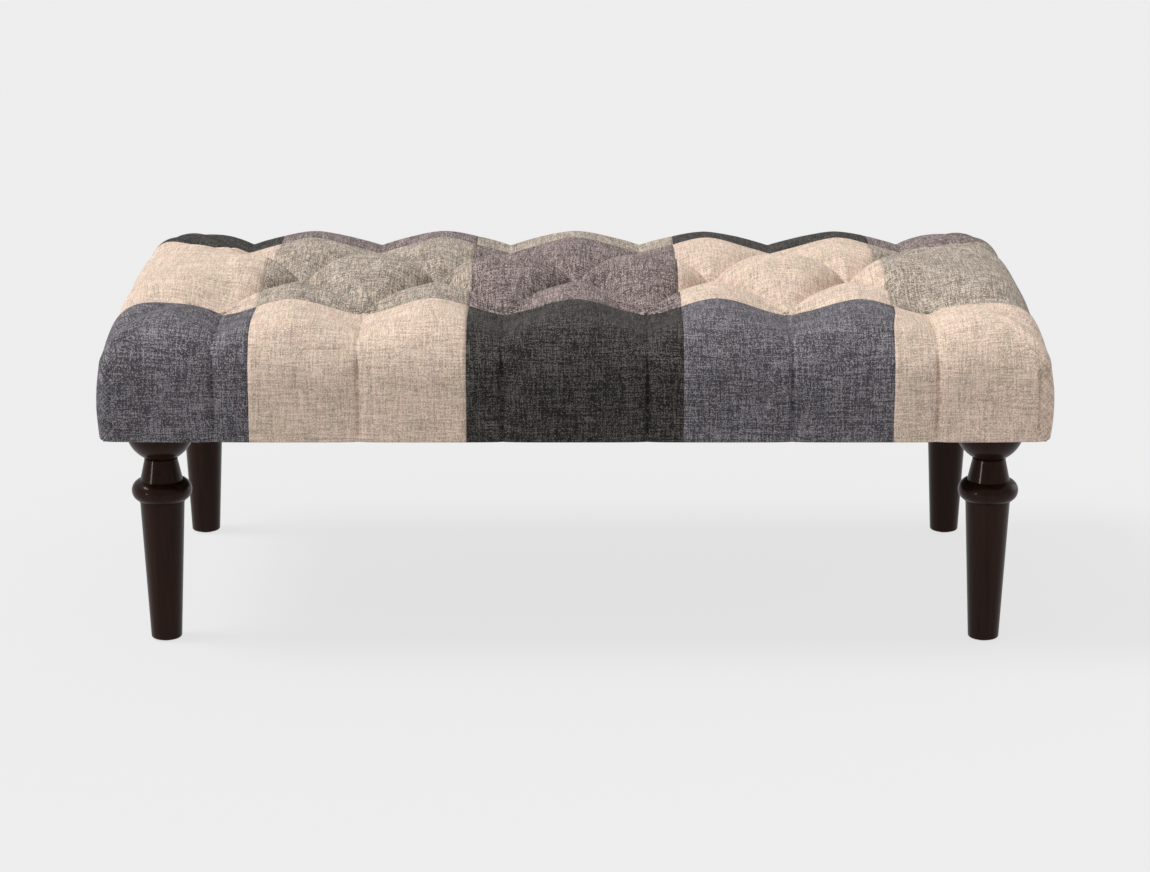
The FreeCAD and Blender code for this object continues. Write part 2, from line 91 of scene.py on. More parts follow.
# Half cross-section: distances in from the face, and heights. Pleats first, puffs second.
RETURN = 0.030
EDGE_R = 0.004
SHOULDER_Z = 0.372
SIDE_LEAN = (0.12, 1.0)
PLEAT_LOW = 0.003
PLEAT_HIGH = 0.0055
PLEAT_W = 0.011  # the face bends back to a pleat over about this width
SLIT = 0.0034
SLIT_W = 0.0018
SLIT_FADE = (0.385, 0.405)
SLIT_LOST = (0.6, 1.0)  # of its depth above there, in front and at the back
SLIT_FROM = ROW + 0.004
SLIT_END = FIELD + 0.02
LOW_BROW = ((0.0085, 0.3935), (0.0100, 0.4020))
BROW = ((0.018, 0.405), (0.027, 0.424))
CREST = ((0.085, 0.4135), (0.070, 0.4398))
SEAM_IN = 0.124
SEAM_Z = 0.443
SEAM_LEAN = (1.0, 2.5)  # degrees
SEAM_SOFT = 0.95  # how gently the seam turns at the tufts
CREST_SOFT = 0.5  # how far the crest follows it in this
PUFF_LIFT = 0.072  # for its length
DIAMOND_LIFT = 0.003
DIAMOND_FULL = 0.2
DIAMOND_POWER = 3.0
PUFF_FULL = 0.8
PUFF_POWER = 2.2

# The ends.
END_PLEAT_HIGH = 0.003
END_SIDE = 0.0013
END_BROW = ((0.0140, 0.4085), (0.0105, 0.4150))
END_MID = ((0.0320, 0.4270), (0.0262, 0.4360))
END_CREST = ((0.0850, 0.4330), (0.0950, 0.4520))
CORNER_CREST = (0.095, 0.4395)
CORNER_TOP = 0.4400
CORNER_BROWS = ((0.0085, 0.3920), (0.0245, 0.4120))  # the corner itself, rounder than the faces
CORNER_WIDE = 0.060
CORNER_LOW = 0.004
CORNER_SOFT = 0.15
CORNER_SOFT_IN = (0.03, 0.10)  # it begins between these distances in from the face
CORNER_TURN = (0.1, 0.9)  # shares of the way round between which the front's form becomes the end's
CORNER_BLEND = 3  # power that blends the distances from the two pleats
SLANT_POWER = 0.7  # how much a slanting rib stretches its section
CORNER_POWER = 3.4
CORNER_LEAN = 0.12
CORNER_R = 0.018
CORNER_SEAM_Y = 0.217
CORNER_BEND = 0.010

# Lengths round a corner, from the front pleat to the end pleat.
STRAIGHT = HALF_W - CORNER_R - FIELD
ROUND = math.pi / 2 * CORNER_R
END_STRAIGHT = HALF_D - CORNER_R - ROW
CORNER_LENGTH = STRAIGHT + ROUND + END_STRAIGHT
SEAM_AT = STRAIGHT + ROUND + (HALF_D - CORNER_R - CORNER_SEAM_Y)

# The seam of the back row: how far back it lies at the tuft columns and on the puffs.
BACK_SEAM = (0.222, 0.189)
BACK_SEAM_DIP = 0.050
BACK_SEAM_POWER = 0.8  # moves the dip towards the tufts

# Upright fold near each corner, on the front and back faces.
FOLD_IN = 0.022
FOLD_AT = HALF_W - FOLD_IN - FIELD
FOLD_NEAR = 0.0005  # lines of points beside the fold
FOLD_FAR = 0.0012
FOLD_STEP = 0.0022
FOLD_FADE = 0.030
FOLD_LAP = 0.0003
FOLD_SINK = 0.6  # of the step, by which the strip beside it lies back
FOLD_SINK_FADE = 0.008
FOLD_SLIT = 0.0015
FOLD_SLIT_W = 0.0010
FOLD_TOP = (0.370, 0.400)

# Points along each stretch of the section.
N_RETURN = 4
N_EDGE = 5
N_SIDE = 20
N_SHOULDER = 40
N_PUFF = 34
N_DIAMOND = 28
N_BAY = 26
N_FAN = 34
N_ROUND = 10
N_TURN = 12
N_CURVE = 24
N_PATH = 40
FAN_POWER = 1.5  # crowds the points of a fan at its pleats
RIB_POINTS = N_RETURN + N_EDGE + N_SIDE + N_SHOULDER - 3

# Patches: three rows of five, and the seams across the rows.
ROWS = ["front", "top", "back"]
COLUMNS = 5
COLUMN_SEAMS = [-2.25 * PITCH, -0.75 * PITCH, 0.75 * PITCH, 2.25 * PITCH]
LAST_SEAM_LOW = 2.20 * PITCH  # where the last seam of the front row runs on the face
LAST_SEAM_IN = 0.02  # it turns from there to its column from this distance in
SEAM_GROOVE = 0.0003
SEAM_GROOVE_W = 0.0025

# Flat coordinates of the cloth at the ends of each stretch of a rib, from its inner end outwards.
V_SIDE = -0.165
V_EDGE = V_SIDE - (SHOULDER_Z - BASE_Z - EDGE_R)
V_LOW = V_EDGE - EDGE_R * math.pi / 2
V_RETURN = V_LOW - (RETURN - EDGE_R)
V_MIDDLE = 0.200
END_SPARE = 0.030  # the end ribs are longer than the front ones by this much

# Rounding of the creases on top.
SOFTEN = 0.5
SOFTEN_ROUNDS = 16
SOFTEN_FROM = (0.385, 0.405)

# Small unevenness of the cloth.
SWELL = 0.0014
SWELL_SIZE = 0.13
SWELL_SEED = 1.0
RIPPLE = 0.00035
RIPPLE_SIZE = 0.035
RIPPLE_SEED = 4.0
SEED_WAY = (1.0, 2.7, -1.3)  # a seed moves the noise this way
PUCKER = 0.0006
PUCKERS = 11
PUCKER_R = 0.017
PUCKER_WIDE = 0.7 * PUCKER_R
PUCKER_TURN = 2.1  # from one tuft to the next
CRINKLE = 0.0008
CRINKLE_W = 0.0016
CRINKLE_AT = -0.050
CRINKLE_LONG = 0.032
CRINKLE_BOW = 8.0
CRINKLE_JOG = (0.006, 2.9)  # sideways: how far, and the turn from one column to the next
CRINKLE_WANDER = (0.010, 2.3)  # back and forth
EVEN_EDGE = (BASE_Z + 0.001, BASE_Z + 0.020)  # heights between which the unevenness begins

# The dust cover under the frame.
DUST_GAP = 0.002
DUST_PATCH = 0.060
DUST_STEP = 0.012
DUST_RINGS = 3
DUST_SAG = 0.003
DUST_PUCKER = 0.0003
DUST_PUCKER_IN = 0.03
DUST_CLEAR = 0.0002  # below the rails
STAPLE_STEP = 0.050

# Camera, as the photograph was taken.
PHOTO_W = 1150
CAMERA_AT = (0.0, -4.3728, 1.4042)
CAMERA_PITCH = math.radians(15.31)
FOCAL_PIXELS = 3331.0
SENSOR_W = 36.0

# Light: an even sky, and lamps by azimuth, height, strength and spread.
SKY = 0.54
SUNS = {"key": (-90, 56, 2.35, 25), "streak": (-54, 8, 0.34, 8), "rim": (125, 12, 0.40, 35)}

# The floor: how pale it is, and the tone that takes up most of what the camera sees of it.
FLOOR_HALF = 40
FLOOR_ALBEDO = 0.56
FLOOR_TONE = 242
FLOOR_TONE_SHARE = 0.82

# Linen: threads, thick threads, grain of the crossings, pale flecks, slow blotches and stains of a tint.
THREAD = 0.0010  # spacing of the threads
EVEN_LONG = 0.024  # a thread keeps its shade over about this length
SLUB = 0.0020  # a thick thread
SLUB_LONG = 0.060
BLOTCH = 0.045
THREAD_SHARE = 1.3
SLUB_SHARE = 0.45
GRAIN_SHARE = 1.6
BLOTCH_SHARE = 0.4
FLECK_FROM = 0.62  # of the grain, above which a crossing shows as a pale fleck
FLECK_SHARE = 5.0
MIDDLE_SHADE = 0.5 - THREAD_SHARE - SLUB_SHARE - GRAIN_SHARE / 2 - BLOTCH_SHARE / 2  # keeps the mean at 0.5
THREAD_SPREAD = 7.31  # sets neighbouring threads apart in the noise
THREAD_SEEDS = (0.21, 4.43, 8.17)  # threads, thick threads, grain
OTHER_WAY = 0.37  # seed of the threads that run the other way
BLOTCH_AT = (2.0, 6.0, 3.0)  # its place in the noise
STAIN_AT = (9.0, 1.0, 5.0)
STAIN_SCALE = (34, 15, 1)
STAIN_GAIN = (3.0, -1.2)
STAIN_SHARE = 0.55
WEAVE_BUMP = (0.25, 0.0004)  # strength and height
LINEN_SHINE = {"Roughness": 0.92, "Specular IOR Level": 0.12, "Sheen Weight": 0.03, "Sheen Roughness": 0.5}

# Linens: colour as seen on screen, factors for dark and light threads, and the tint of the stains.
LINENS = {
    "linen_slate": ((83, 80, 83), 0.64, 3.8, (0.93, 0.96, 1.03)),
    "linen_beige": ((211, 189, 173), 0.60, 1.40, (0.87, 0.93, 0.85)),
    "linen_charcoal": ((44, 42, 40), 0.60, 5.5, (0.96, 0.97, 1.0)),
    "linen_taupe": ((147, 137, 126), 0.46, 2.5, (1.0, 0.95, 0.92)),
    "linen_mauve": ((102, 92, 90), 0.46, 3.9, (1.0, 0.95, 0.98)),
}
PATCH_LINENS = {
    "front": ["slate", "beige", "charcoal", "slate", "beige"],
    "top": ["beige", "taupe", "mauve", "beige", "taupe"],
    "back": ["charcoal", "mauve", "taupe", "charcoal", "mauve"],
}

# Woods: dark and light, axis of the grain, roughness, coat, and the tint of the shine.
PLAIN = (1.0, 1.0, 1.0)
WOODS = {
    "leg_wood": ((23, 11, 7), (45, 25, 18), "Z", 0.34, 0.15, (0.60, 0.36, 0.28)),
    "frame_pine": ((176, 138, 92), (214, 182, 136), "X", 0.7, 0.0, PLAIN),
    "plywood": ((186, 152, 108), (218, 190, 148), "X", 0.7, 0.0, PLAIN),
}
WOOD_FINE = 90.0
WOOD_ALONG = 0.045  # how much coarser the grain is along its axis
PORES_FINE = 5
PORES_AT = (3.0, 5.0, 1.0)
GRAIN_SHADE = 0.75
PORES_SHADE = 0.35
WOOD_STOPS = (0.35, 0.75)  # shades that are all dark and all light
WOOD_UNEVEN = 0.16  # of the roughness
WOOD_BUMP = (0.12, 0.0004)
WOOD_SHINE = 0.12
COAT_ROUGH = 0.08

# Speckled surfaces: dark and light, size of the grain, roughness, metal.
SPECKLED = {
    "zinc_steel": ((150, 152, 152), (190, 192, 190), 0.002, 0.4, 1.0),
    "glide_plastic": ((38, 34, 32), (52, 48, 46), 0.001, 0.5, 0.0),
    "toggle_plastic": ((215, 212, 204), (232, 230, 224), 0.001, 0.5, 0.0),
    "twine": ((196, 184, 160), (226, 216, 196), 0.0008, 0.85, 0.0),
    "foam": ((226, 214, 160), (244, 236, 196), 0.0015, 0.95, 0.0),
    "fibre": ((228, 228, 226), (248, 248, 246), 0.004, 0.95, 0.0),
    "dust_cloth": ((20, 20, 21), (38, 38, 40), 0.0012, 0.9, 0.0),
}
SPECKLE_STOPS = (0.3, 0.7)
SPECKLE_UNEVEN = 0.2
SPECKLE_BUMP = (0.2, 0.3)  # strength, and height as a share of the grain's size

NEAR = 1e-6  # lengths under this count as none
JOIN = 1e6  # points that agree to a millionth of a metre are joined

FRONT_COLUMNS = [PITCH * (i - 2.5) for i in range(6)]
MIDDLE_COLUMNS = [PITCH * (i - 2) for i in range(5)]
TUFTS = [(x, s * ROW) for s in (-1, 1) for x in FRONT_COLUMNS] + [(x, 0.0) for x in MIDDLE_COLUMNS]


def mix(a, b, share):
    return a + (b - a) * share


def mix_points(p, q, share):
    return (mix(p[0], q[0], share), mix(p[1], q[1], share))


def ease(x, low, high):
    """0 below low, 1 above high, smooth between."""
    t = np.clip((x - low) / (high - low), 0.0, 1.0)
    return t * t * (3 - 2 * t)


def puff(distance, power=PUFF_POWER):
    """Rise of a puff, 0 at a pleat and 1 half a pitch away: creased at the pleat, round on top."""
    share = min(max(distance / HALF_PITCH, 0.0), 1.0)
    return 1 - (1 - share) ** power


def gentle(distance):
    """Rise of a wave, 0 at a tuft and 1 half a pitch away, level at both."""
    share = min(max(distance / HALF_PITCH, 0.0), 1.0)
    return (1 - math.cos(math.pi * share)) / 2


def pressed(distance):
    """How far the face bends back near a pleat, 1 at the pleat and 0 well away from it."""
    return math.exp(-distance / PLEAT_W)


def nearest(x, columns):
    return min(abs(x - c) for c in columns)


def tangents(knots, start, end):
    """Tangents of the smooth curve through knots, by length along its chords. A direction that is None
    leaves that end free."""
    steps = np.linalg.norm(np.diff(knots, axis=0), axis=1)
    n = len(knots)
    rows = np.zeros((n, n))
    right = np.zeros((n, knots.shape[1]))
    for i in range(1, n - 1):
        before, after = steps[i - 1], steps[i]
        rows[i, i - 1] = after
        rows[i, i] = 2 * (before + after)
        rows[i, i + 1] = before
        rise = (knots[i] - knots[i - 1]) * after / before + (knots[i + 1] - knots[i]) * before / after
        right[i] = 3 * rise
    for i, near, direction, step in ((0, 1, start, steps[0]), (n - 1, n - 2, end, steps[-1])):
        if direction is None:
            rows[i, i] = 2
            rows[i, near] = 1
            right[i] = 3 * (knots[max(i, near)] - knots[min(i, near)]) / step
        else:
            rows[i, i] = 1
            right[i] = np.array(direction) / np.linalg.norm(direction)
    return np.linalg.solve(rows, right), steps


def lengths_along(points):
    """How far along a line of points each of them lies."""
    return np.concatenate([[0.0], np.cumsum(np.linalg.norm(np.diff(points, axis=0), axis=1))])


def evenly(points, count):
    """count points evenly spaced along a line of points."""
    along = lengths_along(points)
    at = np.linspace(0, along[-1], count)
    return np.stack([np.interp(at, along, points[:, k]) for k in range(points.shape[1])], 1)


def spline(knots, counts, start=None, end=None):
    """Points on the smooth curve through knots. counts gives how many go on each stretch between the
    knots that it names, as (first knot, last knot, count)."""
    knots = np.array(knots, float)
    slopes, steps = tangents(knots, start, end)
    t = np.linspace(0, 1, N_CURVE)[:, None]
    pieces = []
    for i, step in enumerate(steps):
        p, q, a, b = knots[i], knots[i + 1], slopes[i] * step, slopes[i + 1] * step
        curve = (2 * t**3 - 3 * t**2 + 1) * p + (t**3 - 2 * t**2 + t) * a
        curve += (3 * t**2 - 2 * t**3) * q + (t**3 - t**2) * b
        pieces.append(curve)
    return [evenly(np.concatenate(pieces[i:j]), n) for i, j, n in counts]


def hump(p, q, out, lift):
    """The point half way from p to q, pushed outwards and raised."""
    return ((p[0] + q[0]) / 2 - out, (p[1] + q[1]) / 2 + lift)


def foot(low_in, side, bulge, lean):
    """The lower part of a rib as (distance in, Z) points: return, rounded edge and side."""
    under = np.array([(RETURN, BASE_Z), (low_in + EDGE_R, BASE_Z)])
    turn = np.linspace(0, math.pi / 2, N_TURN)
    edge = np.stack([low_in + EDGE_R * (1 - np.sin(turn)), BASE_Z + EDGE_R * (1 - np.cos(turn))], 1)
    low = (low_in, BASE_Z + EDGE_R)
    up = spline([low, hump(low, side, bulge, 0.0), side], [(0, 2, N_SIDE)], None, lean)
    return [evenly(under, N_RETURN), evenly(edge, N_EDGE)] + up


def joined(stretches):
    """Stretches of points as one line, each without its first point but the first."""
    return np.concatenate([stretches[0]] + [s[1:] for s in stretches[1:]])


def swelling(p, q, lift, count, start=None, end=None):
    """A smooth swelling line of points from p to q, or count times p where the two are one."""
    if math.dist(p, q) < NEAR:
        return np.tile(np.array(p), (count, 1))
    return spline([p, hump(p, q, 0.0, lift), q], [(0, 2, count)], start, end)[0]


def middle_section(x):
    """Half a cross-section within the tuft field: (distance in, Z) points from the return to the middle."""
    distance = nearest(x, FRONT_COLUMNS)
    front = puff(distance)
    middle = puff(nearest(x, MIDDLE_COLUMNS), DIAMOND_POWER)
    along = min(distance / HALF_PITCH, 1.0)
    side = (PLEAT_HIGH * pressed(distance), SHOULDER_Z)
    brow = mix_points(*BROW, front)
    soft = mix(front, gentle(distance), SEAM_SOFT)
    crest = mix_points(*CREST, mix(front, soft, CREST_SOFT))
    seam = (mix(HALF_D - ROW, SEAM_IN, soft), mix(TUFT_Z, SEAM_Z, soft))
    crease = (mix(HALF_D - ROW, HALF_D, along), TUFT_Z + CREASE_RISE * math.sin(math.pi * along))
    top = (HALF_D, mix(TUFT_Z, CROWN_Z, middle))
    lean = math.radians(mix(*SEAM_LEAN, front))
    at_seam = (math.cos(lean), math.sin(lean))
    stretches = foot(PLEAT_LOW * pressed(distance), side, 0.0, SIDE_LEAN)
    low_brow = mix_points(*LOW_BROW, front)
    stretches += spline([side, low_brow, brow, crest, seam], [(0, 4, N_SHOULDER)], SIDE_LEAN, at_seam)
    lift = PUFF_LIFT * math.dist(seam, crease) + PUFF_FULL * (front - soft) * (SEAM_Z - TUFT_Z)
    stretches.append(swelling(seam, crease, lift, N_PUFF, at_seam))
    lift = DIAMOND_LIFT + DIAMOND_FULL * (top[1] - crease[1]) * math.sin(math.pi * along)
    stretches.append(swelling(crease, top, lift, N_DIAMOND, None, (1, 0)))
    return joined(stretches)


def rib(path, low_in, knots, inner_z, tip=0.0):
    """A rib from the return to its inner end. path is a line of plan points from the face inwards, and
    knots are (distance in, Z) from the top of the side, which bulges towards the tip of a corner."""
    along = lengths_along(path)
    knots = [*knots, (along[-1], inner_z)]
    lean = (SIDE_LEAN[0] + CORNER_LEAN * tip, SIDE_LEAN[1])
    upper = spline(knots, [(0, len(knots) - 1, N_SHOULDER)], lean)
    profile = joined(foot(low_in, knots[0], CORNER_LOW * tip, lean) + upper)
    x = np.interp(profile[:, 0], along, path[:, 0])
    y = np.interp(profile[:, 0], along, path[:, 1])
    return np.stack([x, y, profile[:, 1]], 1)


def outline(s):
    """The plan point and outward direction at a length s round the corner, from the front pleat to the
    end pleat."""
    if s <= STRAIGHT:
        return (FIELD + s, -HALF_D), (0.0, -1.0)
    if s <= STRAIGHT + ROUND:
        a = (s - STRAIGHT) / CORNER_R
        out = (math.sin(a), -math.cos(a))
        centre = (HALF_W - CORNER_R, -HALF_D + CORNER_R)
        return (centre[0] + CORNER_R * out[0], centre[1] + CORNER_R * out[1]), out
    return (HALF_W, -HALF_D + CORNER_R + s - STRAIGHT - ROUND), (1.0, 0.0)


def corner_path(s):
    """Plan points of a corner rib from the face to the corner tuft, and how it slants from square."""
    face, out = outline(s)
    face, tuft = np.array(face), np.array((FIELD, -ROW))
    run = tuft - face
    slant = -float(np.dot(run, out)) / np.linalg.norm(run)
    t = np.linspace(0, 1, N_PATH)[:, None]
    bend = np.array((1.0, -1.0)) * CORNER_BEND * math.sin(2 * math.pi * s / CORNER_LENGTH)
    return face + run * t - bend * np.sin(math.pi * t), slant


def corner_rise(path, inset):
    """How far a corner puff has risen at a distance in from the face, by how far off the two pleats are."""
    along = lengths_along(path)
    off_front = max(np.interp(inset, along, path[:, 0]) - FIELD, NEAR)
    off_end = max(-ROW - np.interp(inset, along, path[:, 1]), NEAR)
    off = (off_front**-CORNER_BLEND + off_end**-CORNER_BLEND) ** (-1 / CORNER_BLEND)
    return mix(puff(off, CORNER_POWER), gentle(off), CORNER_SOFT * ease(inset, *CORNER_SOFT_IN))


def corner_rib(s):
    """A rib of a corner puff, from the face at a length s round the corner to the corner tuft."""
    path, slant = corner_path(s)
    reach = np.linalg.norm(np.diff(path, axis=0), axis=1).sum()
    stretch = slant**-SLANT_POWER
    press = pressed(min(s, CORNER_LENGTH - s))
    towards_end = ease(s / CORNER_LENGTH, *CORNER_TURN)
    tip = math.exp(-(((s - STRAIGHT - ROUND / 2) / CORNER_WIDE) ** 2))
    side = mix(PLEAT_HIGH * press, END_SIDE + END_PLEAT_HIGH * press, towards_end) + CORNER_LOW * tip
    knots = [(side * stretch, SHOULDER_Z)]
    for front, end, corner in zip((LOW_BROW, BROW), (END_BROW, END_MID), CORNER_BROWS):
        rise = corner_rise(path, front[1][0] * stretch)
        face = mix_points(mix_points(*front, rise), mix_points(*end, rise), towards_end)
        x, z = mix_points(face, corner, tip)
        knots.append((x * stretch, z))
    pleat = mix_points(CREST[0], END_CREST[0], towards_end)
    rise = corner_rise(path, CORNER_CREST[0] * stretch)
    x, z = mix_points(pleat, CORNER_CREST, rise)
    knots.append((x * stretch, z))
    inset = (x * stretch + reach) / 2
    knots.append((inset, mix((pleat[1] + TUFT_Z) / 2, CORNER_TOP, corner_rise(path, inset))))
    return rib(path, PLEAT_LOW * press + CORNER_LOW * tip, knots, TUFT_Z, tip)


def end_rib(y, inner_z):
    """A rib of an end puff, from the end face in to the edge of the tuft field."""
    rise, press = puff(ROW - abs(y)), pressed(ROW - abs(y))
    path = np.array([(HALF_W, y), (FIELD, y)])
    knots = [(END_SIDE + END_PLEAT_HIGH * press, SHOULDER_Z)]
    knots += [mix_points(*knot, rise) for knot in (END_BROW, END_MID, END_CREST)]
    return rib(path, PLEAT_LOW * press, knots, inner_z)


def stations():
    """Places along X in the tuft field, closer together at the tufts, with one on each column seam."""
    share = (1 - np.cos(np.linspace(0, math.pi, N_BAY + 1))) / 2
    found = [-FIELD + HALF_PITCH * (i + t) for i in range(10) for t in share[:-1]] + [FIELD]
    found = np.array(found)
    for seam in COLUMN_SEAMS:
        found[np.argmin(abs(found - seam))] = seam
    return found


def middle_sheet(xs):
    ribs = []
    for x in xs:
        half = middle_section(x)
        front = np.stack([np.full(len(half), x), half[:, 0] - HALF_D, half[:, 1]], 1)
        back = front[-2::-1] * (1, -1, 1)
        ribs.append(np.concatenate([front, back]))
    return np.array(ribs)


def fan_places():
    """Lengths round the corner, closer together at the pleats and at the fold, one on the seam."""
    found = list(np.linspace(0, 1, N_FAN) ** FAN_POWER * (FOLD_AT - FOLD_FAR))
    found += [FOLD_AT - FOLD_NEAR, FOLD_AT, FOLD_AT + FOLD_FAR]
    found += list(np.linspace(STRAIGHT, STRAIGHT + ROUND, N_ROUND))
    rest = CORNER_LENGTH - STRAIGHT - ROUND
    found += [CORNER_LENGTH - rest * t**FAN_POWER for t in np.linspace(1, 0, N_FAN)[1:]]
    found = np.array(found)
    found[np.argmin(abs(found - SEAM_AT))] = SEAM_AT
    return found


def end_sheets(middle):
    """The corner fans and the strip between them, at the right end."""
    edge = middle[-1]
    front_tuft = RIB_POINTS - 1
    back_tuft = len(edge) - RIB_POINTS
    strip = []
    for j in range(front_tuft, back_tuft + 1):
        line = end_rib(edge[j, 1], edge[j, 2])
        line[-1] = edge[j]
        strip.append(line)
    strip = np.array(strip)
    places = fan_places()
    fan = [corner_rib(s) for s in places]
    fan[0] = edge[:RIB_POINTS].copy()
    fan[-1] = strip[0].copy()
    return np.array(fan), strip, places


def rib_lengths(spare):
    """Flat coordinate along a rib, 0 at its inner end."""
    parts = [np.linspace(V_RETURN, V_LOW, N_RETURN), np.linspace(V_LOW, V_EDGE, N_EDGE)]
    parts += [np.linspace(V_EDGE, V_SIDE, N_SIDE)]
    lower = joined([p[:, None] for p in parts])[:, 0] - spare
    return np.concatenate([lower, np.linspace(V_SIDE - spare, 0, N_SHOULDER)[1:]])


def section_lengths():
    """Flat coordinate along a whole cross-section, 0 at the front seam."""
    front = rib_lengths(0.0)
    half = np.concatenate([front, np.linspace(0, V_MIDDLE, N_PUFF + N_DIAMOND - 1)[1:]])
    return np.concatenate([half, 2 * V_MIDDLE - half[-2::-1]])


def patch_number(row, column):
    return ROWS.index(row) * COLUMNS + column


class Cover:
    """Points, faces, cloth coordinates and patch numbers of the whole cover."""

    def __init__(self):
        self.points = []
        self.corners = []
        self.coords = []
        self.patches = []
        self.heights = []
        self.count = 0

    def add(self, sheet, coords, back_coords, patches, heights, flip=False):
        """Adds a sheet of points by rib and place along it. coords has cloth coordinates for the four
        corners of each face, back_coords those that it has if it lies in the back row, patches a number
        for each face, heights how far up its rib it lies."""
        ribs, length = sheet.shape[:2]
        ids = self.count + np.arange(ribs * length).reshape(ribs, length)
        corners = quads(ids)
        coords = np.concatenate([coords, back_coords], axis=3)
        if flip:
            corners, coords = corners[:, :, ::-1], coords[:, :, ::-1]
        self.points.append(sheet.reshape(-1, 3))
        self.corners.append(corners.reshape(-1, 4))
        self.coords.append(coords.reshape(-1, 4, 4))
        self.patches.append(np.broadcast_to(patches, corners.shape[:2]).reshape(-1))
        self.heights.append(np.broadcast_to(heights, corners.shape[:2]).reshape(-1))
        self.count += ribs * length

    def merge(self):
        """Joins points that lie together, and drops faces with no area."""
        points = np.concatenate(self.points)
        keys = np.round(points * JOIN).astype(np.int64)
        first, where = np.unique(keys, axis=0, return_index=True, return_inverse=True)[1:]
        self.points = points[first]
        corners = where.reshape(-1)[np.concatenate(self.corners)]
        coords = np.concatenate(self.coords)
        patches = np.concatenate(self.patches)
        heights = np.concatenate(self.heights)
        new = corners != np.roll(corners, 1, axis=1)
        self.faces, self.coords, kept = [], [], []
        for n in range(len(corners)):
            ids, uv = corners[n], coords[n]
            if not new[n].all():
                ids, uv = ids[new[n]], uv[new[n]]
            if len(set(ids.tolist())) < max(3, len(ids)):
                continue
            self.faces.append(ids.tolist())
            self.coords.append(uv)
            kept.append(n)
        self.patches = patches[kept]
        self.heights = heights[kept]

    def cut(self, level, row, renumber):
        """Cuts the faces of a row of patches along the line where a level, given for each point, crosses
        zero, and gives those above it new numbers."""
        points = list(self.points)
        made = {}
        faces, coords, patches, heights = [], [], [], []
        for face, uv, patch, height in zip(self.faces, self.coords, self.patches, self.heights):
            beyond = level[face] > 0
            if patch // COLUMNS != row or beyond.all() or not beyond.any():
                sides = {bool(beyond[0]): (face, list(uv))}
            else:
                sides = {True: ([], []), False: ([], [])}
                for k, a in enumerate(face):
                    b = face[(k + 1) % len(face)]
                    ids, places = sides[bool(level[a] > 0)]
                    ids.append(a)
                    places.append(uv[k])
                    if (level[a] > 0) == (level[b] > 0):
                        continue
                    share = level[a] / (level[a] - level[b])
                    key = (min(a, b), max(a, b))
                    if key not in made:
                        made[key] = len(points)
                        points.append(mix(points[a], points[b], share))
                    for ids, places in sides.values():
                        ids.append(made[key])
                        places.append(mix(uv[k], uv[(k + 1) % len(face)], share))
            for is_beyond, (ids, places) in sides.items():
                faces.append(ids)
                coords.append(np.array(places))
                patches.append(renumber(patch) if is_beyond and patch // COLUMNS == row else patch)
                heights.append(height)
        self.points = np.array(points)
        self.faces, self.coords = faces, coords
        self.patches, self.heights = np.array(patches), np.array(heights)

    def choose_coords(self):
        """Leaves each face the cloth coordinates of its own row."""
        first_back = patch_number("back", 0)
        both = zip(self.coords, self.patches)
        self.coords = [uv[:, 2:] if patch >= first_back else uv[:, :2] for uv, patch in both]

    def normals(self):
        total = np.zeros_like(self.points)
        for size in range(3, 7):
            faces = np.array([f for f in self.faces if len(f) == size])
            if not len(faces):
                continue
            p = self.points[faces]
            across = sum(np.cross(p[:, k] - p[:, 0], p[:, k + 1] - p[:, 0]) for k in range(1, size - 1))
            for k in range(size):
                np.add.at(total, faces[:, k], across)
        return total / np.maximum(np.linalg.norm(total, axis=1), 1e-12)[:, None]


def back_seam(x):
    """How far back the seam of the back row lies at places along X."""
    from_tuft = np.min([abs(x - c) for c in FRONT_COLUMNS], axis=0)
    field = mix(*BACK_SEAM, (1 - np.cos(np.pi * np.clip(from_tuft / HALF_PITCH, 0, 1))) / 2)
    past = np.clip((abs(x) - FIELD) / (HALF_W - FIELD), 0, 1)
    dip = BACK_SEAM_DIP * np.sin(np.pi * past**BACK_SEAM_POWER)
    return np.where(past > 0, BACK_SEAM[0] - dip, field)


def quads(grid):
    """The four corners of each face of a grid."""
    return np.stack([grid[:-1, :-1], grid[1:, :-1], grid[1:, 1:], grid[:-1, 1:]], axis=2)


def end_coords(sheet):
    """Cloth coordinates of a sheet of ribs that belongs to the end of a top patch."""
    across = np.broadcast_to(FIELD - rib_lengths(END_SPARE), sheet.shape[:2])
    return quads(np.stack([across, sheet[:, :, 1]], 2))


